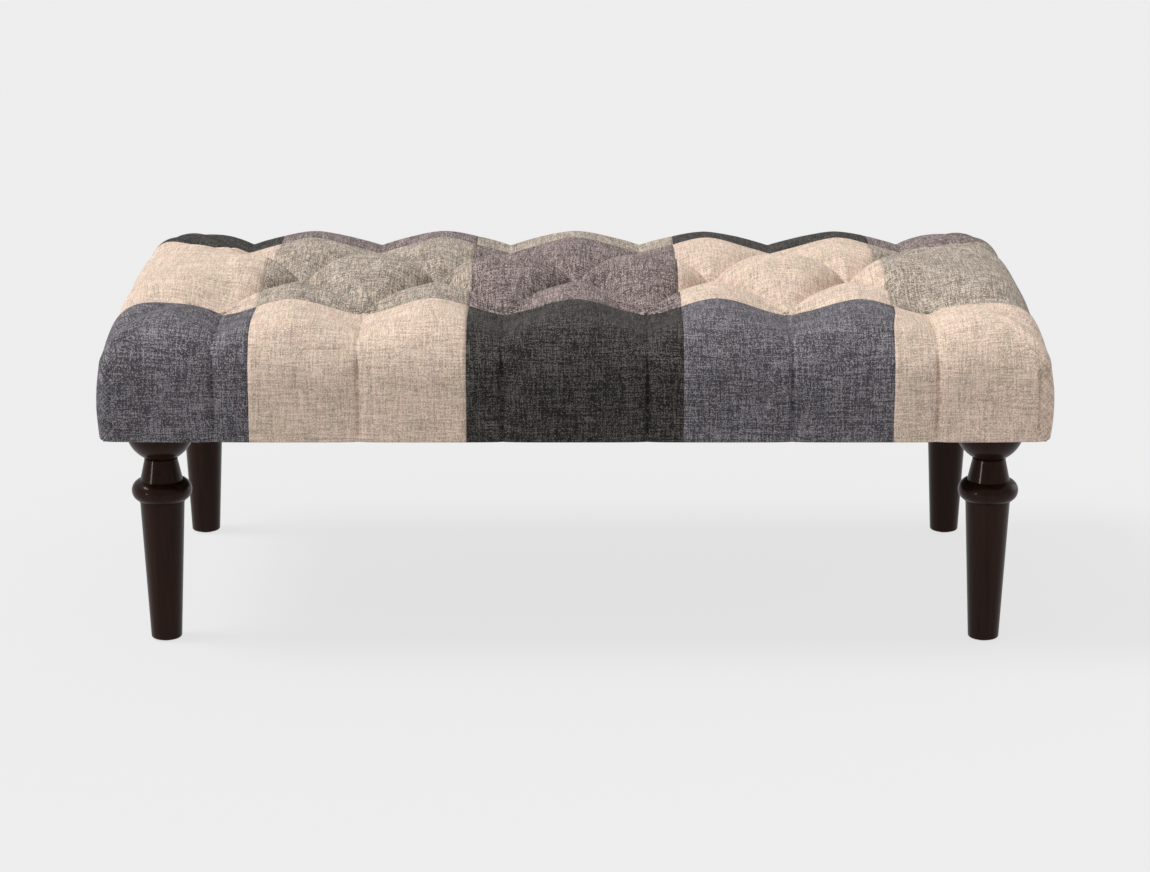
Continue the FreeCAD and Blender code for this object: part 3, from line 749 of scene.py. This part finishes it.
def build_cover():
    """The whole cover, smooth and seamed."""
    cover = Cover()
    xs = stations()
    middle = middle_sheet(xs)
    lengths = section_lengths()
    first_top = RIB_POINTS - 1
    along = np.arange(middle.shape[1] - 1)
    in_front = (along < first_top)[None, :, None, None]
    columns = np.searchsorted(COLUMN_SEAMS, (xs[1:] + xs[:-1]) / 2)
    on_face = quads(np.stack(np.meshgrid(xs, lengths, indexing="ij"), 2))
    coords = np.where(in_front, on_face, quads(middle[:, :, :2]))
    heights = np.minimum(along, along[::-1])
    numbers = (along >= first_top)[None, :] * COLUMNS + columns[:, None]
    cover.add(middle, coords, on_face, numbers, heights[None, :])

    fan, strip, places = end_sheets(middle)
    rib_flat = rib_lengths(0.0)
    up_rib = np.arange(RIB_POINTS - 1)[None, :]
    between = (places[1:] + places[:-1]) / 2
    on_front = np.stack([fan[:, :, 0], np.broadcast_to(rib_flat, fan.shape[:2])], 2)
    on_end = end_coords(fan)
    bias = np.stack([places[:, None] + rib_flat, rib_flat - places[:, None]], 2) * math.sqrt(0.5)
    front_part = (between < STRAIGHT + ROUND)[:, None, None, None]
    strip_part = front_part & (between > FOLD_AT)[:, None, None, None]
    face_coords = np.where(strip_part, quads(bias), np.where(front_part, quads(on_front), on_end))
    strip_coords = end_coords(strip)
    for side in (1, -1):
        column = COLUMNS - 1 if side > 0 else 0
        turn = np.array((side, 1))
        top = patch_number("top", column)
        cover.add(strip * (side, 1, 1), strip_coords * turn, strip_coords * turn, top, up_rib, side < 0)
        numbers = np.where(between < SEAM_AT, patch_number("front", column), top)
        front_coords = np.where((between < SEAM_AT)[:, None, None, None], face_coords, on_end) * turn
        cover.add(fan * (side, 1, 1), front_coords, front_coords, numbers[:, None], up_rib, side < 0)
        back_top, back_face = on_end * turn * (1, -1), face_coords * turn
        cover.add(fan * (side, -1, 1), back_top, back_face, top, up_rib, side > 0)
    cover.merge()
    soften(cover)
    top, last = ROWS.index("top"), patch_number("front", COLUMNS - 1)
    cover.cut(cover.points[:, 1] - back_seam(cover.points[:, 0]), top, lambda n: n + COLUMNS)
    turned = ease(HALF_D + cover.points[:, 1], LAST_SEAM_IN, SEAM_IN)
    line = mix(LAST_SEAM_LOW, COLUMN_SEAMS[3], turned)
    cover.cut(cover.points[:, 0] - line, ROWS.index("front"), lambda n: last)
    cover.choose_coords()
    return cover


def soften(cover):
    """Rounds the creases on top of the seat, as stuffing does, by drawing points towards their
    neighbours."""
    sides = {(min(a, b), max(a, b)) for f in cover.faces for a, b in zip(f, [*f[1:], f[0]])}
    pairs = np.array(sorted(sides))
    count = np.bincount(pairs.ravel(), minlength=len(cover.points))[:, None]
    share = (SOFTEN * ease(cover.points[:, 2], *SOFTEN_FROM))[:, None]
    for _ in range(SOFTEN_ROUNDS):
        total = np.zeros_like(cover.points)
        np.add.at(total, pairs[:, 0], cover.points[pairs[:, 1]])
        np.add.at(total, pairs[:, 1], cover.points[pairs[:, 0]])
        cover.points = cover.points + share * (total / count - cover.points)


def wavering(points, size, seed):
    """Smooth random values, from -1 to 1, at points."""
    away = Vector([seed * way for way in SEED_WAY])
    return np.array([noise.noise(Vector(p) / size + away) for p in points])


def fold_shift(points):
    """How far the cloth stands out beside the upright folds: the face laps over the corner strip."""
    past = abs(points[:, 0]) - (HALF_W - FOLD_IN)
    sink = -FOLD_SINK * np.exp(-past / FOLD_SINK_FADE)
    lap = np.where(past < -FOLD_LAP, np.exp(past / FOLD_FADE), sink)
    slit = FOLD_SLIT * np.exp(-abs(past) / FOLD_SLIT_W)
    on_face = (abs(points[:, 0]) > FIELD) & (abs(points[:, 1]) > HALF_D - CORNER_R)
    return (FOLD_STEP * lap - slit) * on_face * (1 - ease(points[:, 2], *FOLD_TOP))


def roughen(cover):
    """Unevenness of the cloth, along its normals: slow swelling, ripples, puckers round the tufts."""
    points = cover.points
    shift = SWELL * wavering(points, SWELL_SIZE, SWELL_SEED)
    shift += RIPPLE * wavering(points, RIPPLE_SIZE, RIPPLE_SEED)
    for n, (x, y) in enumerate(TUFTS):
        away = points[:, :2] - (x, y)
        r = np.hypot(away[:, 0], away[:, 1])
        angle = np.arctan2(away[:, 1], away[:, 0])
        ring = np.exp(-(((r - PUCKER_R) / PUCKER_WIDE) ** 2))
        on_top = points[:, 2] > SHOULDER_Z
        shift += on_top * PUCKER * ring * np.cos(PUCKERS * angle + PUCKER_TURN * n)
        shift -= on_top * TUFT_DIP * np.exp(-((r / TUFT_DIP_R) ** 2))
    shift += fold_shift(points)
    on_face = (abs(points[:, 1]) > SLIT_FROM) * (abs(points[:, 0]) < SLIT_END)
    shoulder = ease(points[:, 2], *SLIT_FADE)
    slit_share = 1 - np.where(points[:, 1] < 0, *SLIT_LOST) * shoulder
    for column in FRONT_COLUMNS:
        shift -= SLIT * on_face * slit_share * np.exp(-abs(points[:, 0] - column) / SLIT_W)
    for n, column in enumerate(FRONT_COLUMNS):
        off = points[:, 0] - column - CRINKLE_JOG[0] * math.sin(CRINKLE_JOG[1] * n)
        wander = CRINKLE_WANDER[0] * math.sin(CRINKLE_WANDER[1] * n)
        line = CRINKLE_AT + wander - CRINKLE_BOW * off**2
        fade = np.exp(-((off / CRINKLE_LONG) ** 4))
        shift -= CRINKLE * fade * np.exp(-(((points[:, 1] - line) / CRINKLE_W) ** 2))
    for seam in COLUMN_SEAMS:
        shift -= SEAM_GROOVE * np.clip(1 - abs(points[:, 0] - seam) / SEAM_GROOVE_W, 0, 1)
    shift *= ease(points[:, 2], *EVEN_EDGE)
    cover.plain, cover.plain_normals = points, cover.normals()
    cover.pressed_in = np.clip(-shift, 0, None)
    cover.points = points + cover.plain_normals * shift[:, None]


def shell(name, points, faces, coords=None):
    """A mesh object made of some of the points and faces."""
    used = sorted({v for f in faces for v in f})
    new = {v: n for n, v in enumerate(used)}
    mesh = bpy.data.meshes.new(name)
    mesh.from_pydata([tuple(points[v]) for v in used], [], [[new[v] for v in f] for f in faces])
    if coords is not None:
        layer = mesh.uv_layers.new(name="cloth")
        layer.data.foreach_set("uv", np.concatenate(coords).astype(np.float32).ravel())
    mesh.polygons.foreach_set("use_smooth", [True] * len(faces))
    mesh.update()
    made = bpy.data.objects.new(name, mesh)
    bpy.context.scene.collection.objects.link(made)
    return made


def thicken(piece, thickness):
    solid = piece.modifiers.new("thickness", "SOLIDIFY")
    solid.thickness = thickness
    solid.offset = -1.0


def sunk(cover, depth, first):
    """The cover's plain form moved in by a depth and deeper at the tufts, without what lies below a place
    along the ribs."""
    points = cover.plain - cover.plain_normals * (depth + LAYER_PRESS * cover.pressed_in)[:, None]
    for x, y in TUFTS:
        r = np.hypot(cover.plain[:, 0] - x, cover.plain[:, 1] - y)
        points[:, 2] -= LAYER_DIP * np.exp(-((r / LAYER_DIP_R) ** 2)) * (cover.plain[:, 2] > SHOULDER_Z)
    faces = [f for f, h in zip(cover.faces, cover.heights) if h >= first]
    return points, faces


def close_below(piece, z):
    """Carries the open lower edge of a piece down to a height, and closes it with a flat face."""
    work = bmesh.new()
    work.from_mesh(piece.data)
    rim = [e for e in work.edges if len(e.link_faces) == 1]
    made = bmesh.ops.extrude_edge_only(work, edges=rim)["geom"]
    for v in made:
        if isinstance(v, bmesh.types.BMVert):
            v.co.z = z
    low = [e for e in made if isinstance(e, bmesh.types.BMEdge)]
    bmesh.ops.contextual_create(work, geom=low)
    bmesh.ops.recalc_face_normals(work, faces=work.faces)
    work.to_mesh(piece.data)
    work.free()


def new_material(name):
    """A material with a Principled shader, and its node tree."""
    made = bpy.data.materials.new(name)
    made.use_nodes = True
    tree = made.node_tree
    return made, tree, tree.nodes["Principled BSDF"]


def node(tree, kind, **values):
    made = tree.nodes.new(kind)
    for key, value in values.items():
        setattr(made, key, value)
    return made


def link(source, socket):
    socket.id_data.links.new(source, socket)


def set_inputs(made, values):
    """Sets a node's own sockets, by their names."""
    for name, value in values.items():
        made.inputs[name].default_value = value


def math_node(operation, a, b=None, c=None):
    """A Math node's output. a is a socket, b and c are sockets or numbers."""
    made = node(a.id_data, "ShaderNodeMath", operation=operation)
    for socket, value in zip(made.inputs, (a, b, c)):
        if value is None:
            continue
        if isinstance(value, (int, float)):
            socket.default_value = value
        else:
            link(value, socket)
    return made.outputs[0]


def scaled(source, scale, offset=(0.0, 0.0, 0.0)):
    """Coordinates multiplied by scale along each axis."""
    made = node(source.id_data, "ShaderNodeMapping")
    set_inputs(made, {"Scale": scale, "Location": offset})
    link(source, made.inputs["Vector"])
    return made.outputs["Vector"]


def noise_node(source, detail=2.0, rough=0.5, scale=1.0, distortion=0.0):
    made = node(source.id_data, "ShaderNodeTexNoise")
    set_inputs(made, {"Scale": scale, "Detail": detail, "Roughness": rough, "Distortion": distortion})
    link(source, made.inputs["Vector"])
    return made.outputs["Fac"]


def ramp(source, stops):
    """A colour ramp through (place, linear colour) stops."""
    stops = list(stops)
    made = node(source.id_data, "ShaderNodeValToRGB")
    elements = made.color_ramp.elements
    while len(elements) < len(stops):
        elements.new(0.5)
    for element, (place, colour) in zip(elements, stops):
        element.position = place
        element.color = (*colour, 1.0)
    link(source, made.inputs["Fac"])
    return made.outputs["Color"]


def linear(*rgb):
    """A colour given in 0 to 255 as seen on screen, as the shader's linear values."""
    return tuple((v / 255 / 12.92) if v <= 10 else ((v / 255 + 0.055) / 1.055) ** 2.4 for v in rgb)


def bump(shader, height, strength, distance):
    made = node(height.id_data, "ShaderNodeBump")
    set_inputs(made, {"Strength": strength, "Distance": distance})
    link(height, made.inputs["Height"])
    link(made.outputs["Normal"], shader.inputs["Normal"])


def thread_number(place, width):
    """Which thread a place lies on, spread out so that neighbours in a noise have nothing in common."""
    number = math_node("FLOOR", math_node("MULTIPLY", place, 1 / width))
    return math_node("MULTIPLY", number, THREAD_SPREAD)


def noise_at(x, y, seed, detail):
    place = node(x.id_data, "ShaderNodeCombineXYZ")
    link(x, place.inputs[0])
    link(y, place.inputs[1])
    place.inputs[2].default_value = seed
    return noise_node(place.outputs[0], detail)


def threads(parts, width, length, seed):
    """Shades that each thread has for itself, added up for the two ways of the cloth."""
    found = []
    for across, along in ((0, 1), (1, 0)):
        number = thread_number(parts[across], width)
        way = math_node("MULTIPLY", parts[along], 1 / length)
        found.append(noise_at(number, way, seed + OTHER_WAY * across, 1.0))
    return math_node("ADD", *found)


def stained(cloth, shade, tint):
    """A shade with slow stains of a tint."""
    stain = noise_node(scaled(cloth, STAIN_SCALE, STAIN_AT), 2.0)
    within = node(cloth.id_data, "ShaderNodeClamp")
    link(math_node("MULTIPLY_ADD", stain, *STAIN_GAIN), within.inputs["Value"])
    made = node(cloth.id_data, "ShaderNodeMix", data_type="RGBA", blend_type="MULTIPLY")
    link(math_node("MULTIPLY", within.outputs[0], STAIN_SHARE), made.inputs["Factor"])
    link(shade, made.inputs["A"])
    made.inputs["B"].default_value = (*tint, 1.0)
    return made.outputs["Result"]


def linen(name, colour, darker, lighter, tint):
    """Plain-woven linen: threads of uneven shade both ways, some of them thick."""
    made, tree, shader = new_material(name)
    cloth = node(tree, "ShaderNodeUVMap", uv_map="cloth").outputs["UV"]
    split = node(tree, "ShaderNodeSeparateXYZ")
    link(cloth, split.inputs[0])
    parts = split.outputs[:2]
    fine = threads(parts, THREAD, EVEN_LONG, THREAD_SEEDS[0])
    slubs = threads(parts, SLUB, SLUB_LONG, THREAD_SEEDS[1])
    crossing = [thread_number(part, THREAD) for part in parts]
    grain = noise_at(*crossing, THREAD_SEEDS[2], 0.0)
    fleck = math_node("MAXIMUM", math_node("SUBTRACT", grain, FLECK_FROM), 0.0)
    blotch = noise_node(scaled(cloth, (1 / BLOTCH, 1 / BLOTCH, 1), BLOTCH_AT), 3.0, 0.6)
    total = MIDDLE_SHADE
    shares = (THREAD_SHARE, SLUB_SHARE, GRAIN_SHARE, BLOTCH_SHARE, FLECK_SHARE)
    for part, share in zip((fine, slubs, grain, blotch, fleck), shares):
        total = math_node("MULTIPLY_ADD", part, share, total)
    stops = ((0.0, darker), (0.5, 1.0), (1.0, lighter))
    shade = ramp(total, [(place, [factor * v for v in linear(*colour)]) for place, factor in stops])
    link(stained(cloth, shade, tint), shader.inputs["Base Color"])
    waves = [math_node("SINE", math_node("MULTIPLY", part, math.pi / THREAD)) for part in parts]
    bump(shader, math_node("MULTIPLY", *waves), *WEAVE_BUMP)
    set_inputs(shader, LINEN_SHINE)
    return made


def wood(name, dark, light, along, rough, coat, tint):
    """Wood with grain along one axis."""
    made, tree, shader = new_material(name)
    place = node(tree, "ShaderNodeTexCoord").outputs["Object"]
    scale = [WOOD_FINE] * 3
    scale["XYZ".index(along)] = WOOD_FINE * WOOD_ALONG
    grain = noise_node(scaled(place, scale), 4.0, 0.6, distortion=0.4)
    pores = noise_node(scaled(place, [PORES_FINE * s for s in scale], PORES_AT), 1.0)
    total = math_node("MULTIPLY", grain, GRAIN_SHADE)
    total = math_node("MULTIPLY_ADD", pores, PORES_SHADE, total)
    colour = ramp(total, zip(WOOD_STOPS, (linear(*dark), linear(*light))))
    link(colour, shader.inputs["Base Color"])
    shine = math_node("MULTIPLY_ADD", grain, WOOD_UNEVEN, rough - WOOD_UNEVEN / 2)
    link(shine, shader.inputs["Roughness"])
    bump(shader, total, *WOOD_BUMP)
    set_inputs(shader, {"Specular IOR Level": WOOD_SHINE, "Specular Tint": (*tint, 1.0)})
    set_inputs(shader, {"Coat Weight": coat, "Coat Roughness": COAT_ROUGH})
    return made


def speckled(name, dark, light, size, rough, metal):
    """A surface with a fine random grain: foam, fibre, cast plastic or plated steel."""
    made, tree, shader = new_material(name)
    place = node(tree, "ShaderNodeTexCoord").outputs["Object"]
    grain = noise_node(place, 3.0, 0.6, scale=1 / size)
    colour = ramp(grain, zip(SPECKLE_STOPS, (linear(*dark), linear(*light))))
    link(colour, shader.inputs["Base Color"])
    shine = math_node("MULTIPLY_ADD", grain, SPECKLE_UNEVEN, rough - SPECKLE_UNEVEN / 2)
    link(shine, shader.inputs["Roughness"])
    shader.inputs["Metallic"].default_value = metal
    bump(shader, grain, SPECKLE_BUMP[0], size * SPECKLE_BUMP[1])
    return made


LOOKS = {name: linen(name, *values) for name, values in LINENS.items()}
LOOKS.update({name: wood(name, *values) for name, values in WOODS.items()})
LOOKS.update({name: speckled(name, *values) for name, values in SPECKLED.items()})


def dress_patches(cover):
    """The fifteen patches of the cover."""
    for row in ROWS:
        for column in range(COLUMNS):
            chosen = np.flatnonzero(cover.patches == patch_number(row, column))
            faces = [cover.faces[n] for n in chosen]
            coords = [cover.coords[n] for n in chosen]
            cad_node = f"cover_{row}_{column + 1}"
            piece = shell(f"patch_{row}_{column + 1}", cover.points, faces, coords)
            slot = f"linen_{PATCH_LINENS[row][column]}"
            piece.data.materials.append(LOOKS[slot])
            thicken(piece, COVER_T)
            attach(piece, "root")
            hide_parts(cad_node)


def dress_padding(cover):
    """The fibre layer and the foam under the cover."""
    points, faces = sunk(cover, FIBRE_DEPTH, N_RETURN + N_EDGE - 2)
    fibre = shell("fibre_layer", points, faces)
    thicken(fibre, FIBRE_T)
    points, faces = sunk(cover, FOAM_DEPTH, N_RETURN + N_EDGE + N_SIDE - 3)
    foam = shell("foam_core", points, faces)
    close_below(foam, DECK_TOP)
    for piece, cad_node, slot, fill in ((fibre, "fibre_wrap", "fibre", 0.8), (foam, "foam_pad", "foam", 1.0)):
        piece.data.materials.append(LOOKS[slot])
        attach(piece, "root")
        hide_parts(cad_node)


def between_supports(x, supports):
    """0 at each support and 1 half way between two."""
    k = np.clip(np.searchsorted(supports, x), 1, len(supports) - 1)
    share = (x - supports[k - 1]) / (supports[k] - supports[k - 1])
    return 4 * share * (1 - share)


def spaced(stops, step):
    """Places from the first stop to the last, with each stop among them."""
    parts = [np.linspace(a, b, max(2, round((b - a) / step) + 1))[:-1] for a, b in zip(stops, stops[1:])]
    return np.concatenate(parts + [stops[-1:]])


def dust_lines(low, high, leg):
    """Places of the dust cover's lines of points, with the sides of the squares round the legs among them."""
    stops = [low, -leg - DUST_PATCH, DUST_PATCH - leg, leg - DUST_PATCH, leg + DUST_PATCH, high]
    return spaced(stops, DUST_STEP)


def dust_grid(low, high):
    """Plan points and faces of the dust cover, with rings of faces round a hole for each leg."""
    leg_low, leg_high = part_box("leg_front_right")
    leg_x, leg_y = (leg_low.x + leg_high.x) / 2, -(leg_low.y + leg_high.y) / 2
    hole_r = (leg_high.x - leg_low.x) / 2 + DUST_GAP
    xs = dust_lines(low.x, high.x, leg_x)
    ys = dust_lines(low.y, high.y, leg_y)
    points = [(x, y) for x in xs for y in ys]
    faces = []
    rims = {}
    for i in range(len(xs) - 1):
        for j in range(len(ys) - 1):
            x, y = (xs[i] + xs[i + 1]) / 2, (ys[j] + ys[j + 1]) / 2
            corner, across = i * len(ys) + j, (i + 1) * len(ys) + j
            corners = [corner, across, across + 1, corner + 1]
            if abs(abs(x) - leg_x) > DUST_PATCH or abs(abs(y) - leg_y) > DUST_PATCH:
                faces.append(corners)
                continue
            centre = (math.copysign(leg_x, x), math.copysign(leg_y, y))
            rims.setdefault(centre, set()).update(corners)
    for (cx, cy), found in rims.items():
        rim = [p for p in found if max(abs(points[p][0] - cx), abs(points[p][1] - cy)) > DUST_PATCH - NEAR]
        rim.sort(key=lambda p: math.atan2(points[p][1] - cy, points[p][0] - cx))
        ring = rim
        for step in range(1, DUST_RINGS + 1):
            made = []
            for p in rim:
                x, y = points[p][0] - cx, points[p][1] - cy
                shrink = mix(1.0, hole_r / math.hypot(x, y), step / DUST_RINGS)
                made.append(len(points))
                points.append((cx + x * shrink, cy + y * shrink))
            for k in range(len(rim)):
                after = (k + 1) % len(rim)
                faces.append([ring[k], ring[after], made[after], made[k]])
            ring = made
    return np.array(points), faces


def dust_sheet():
    """The dust cover: a thin cloth stapled under the frame, with a round hole for each leg and a slight sag
    between the rails."""
    low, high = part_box("dust_cover")
    cross = sum(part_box("right_cross_rail")[k].x for k in (0, 1)) / 2
    points, faces = dust_grid(low, high)
    x, y = points[:, 0], points[:, 1]
    sag = between_supports(x, np.array([low.x, -cross, cross, high.x])) * (1 - (y / high.y) ** 2)
    inset = np.minimum(high.x - abs(x), high.y - abs(y))
    pucker = np.cos(2 * np.pi * (x + y) / STAPLE_STEP) * np.exp(-inset / DUST_PUCKER_IN)
    z = high.z - DUST_CLEAR - DUST_SAG * sag - DUST_PUCKER * (1 + pucker) * (sag > NEAR)
    piece = shell("dust_cloth", np.column_stack([points, z]), faces)
    piece.data.materials.append(LOOKS["dust_cloth"])
    thicken(piece, high.z - low.z)
    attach(piece, "root")
    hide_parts("dust_cover")


def make_floor():
    """A pale floor that takes the shadow. Most of what the camera sees of it, also in shiny things, is an
    even tone that lights nothing else."""
    mesh = bpy.data.meshes.new("floor")
    corners = [(FLOOR_HALF * x, FLOOR_HALF * y, 0) for x, y in ((-1, -1), (1, -1), (1, 1), (-1, 1))]
    mesh.from_pydata(corners, [], [(0, 1, 2, 3)])
    floor = bpy.data.objects.new("floor", mesh)
    scene.collection.objects.link(floor)
    look, tree, shader = new_material("floor")
    set_inputs(shader, {"Base Color": (FLOOR_ALBEDO, FLOOR_ALBEDO, FLOOR_ALBEDO, 1.0), "Roughness": 1.0})
    tone = node(tree, "ShaderNodeEmission")
    tone.inputs["Color"].default_value = (*linear(FLOOR_TONE, FLOOR_TONE, FLOOR_TONE), 1.0)
    ray = node(tree, "ShaderNodeLightPath").outputs
    seen = math_node("MAXIMUM", ray["Is Camera Ray"], ray["Is Glossy Ray"])
    seen = math_node("MAXIMUM", seen, ray["Is Transmission Ray"])
    blend = node(tree, "ShaderNodeMixShader")
    link(math_node("MULTIPLY", seen, FLOOR_TONE_SHARE), blend.inputs[0])
    link(shader.outputs[0], blend.inputs[1])
    link(tone.outputs[0], blend.inputs[2])
    link(blend.outputs[0], tree.nodes["Material Output"].inputs["Surface"])
    floor.data.materials.append(look)


def make_camera():
    data = bpy.data.cameras.new("camera")
    data.sensor_width = SENSOR_W
    data.lens = FOCAL_PIXELS / PHOTO_W * SENSOR_W
    camera = bpy.data.objects.new("camera", data)
    camera.location = CAMERA_AT
    camera.rotation_euler = (math.pi / 2 - CAMERA_PITCH, 0.0, 0.0)
    scene.collection.objects.link(camera)
    scene.camera = camera


def make_sky():
    scene.world = bpy.data.worlds.new("studio")
    scene.world.use_nodes = True
    sky = scene.world.node_tree.nodes["Background"]
    set_inputs(sky, {"Color": (1.0, 1.0, 1.0, 1.0), "Strength": SKY})


def sun(name, azimuth, height, strength, spread):
    """A soft distant lamp, seen from the seat towards azimuth (0 is the camera's side, 90 the right)."""
    data = bpy.data.lights.new(name, "SUN")
    data.energy = strength
    data.angle = math.radians(spread)
    lamp = bpy.data.objects.new(name, data)
    a, e = math.radians(azimuth), math.radians(height)
    towards = Vector((math.sin(a) * math.cos(e), -math.cos(a) * math.cos(e), math.sin(e)))
    lamp.rotation_euler = towards.to_track_quat("Z", "Y").to_euler()
    scene.collection.objects.link(lamp)


cover = build_cover()
roughen(cover)
scene = bpy.context.scene
scene.view_settings.view_transform = "Standard"
make_floor()
make_camera()
make_sky()
for lamp_name, values in SUNS.items():
    sun(lamp_name, *values)
dress_patches(cover)
dress_padding(cover)
dust_sheet()

for part in frame["record"]["subparts"]:
    shown = frame["nodes"][part["node"]]
    if shown.hide_render:
        continue
    shown.data.materials.clear()
    shown.data.materials.append(LOOKS[part["material_slot"]])
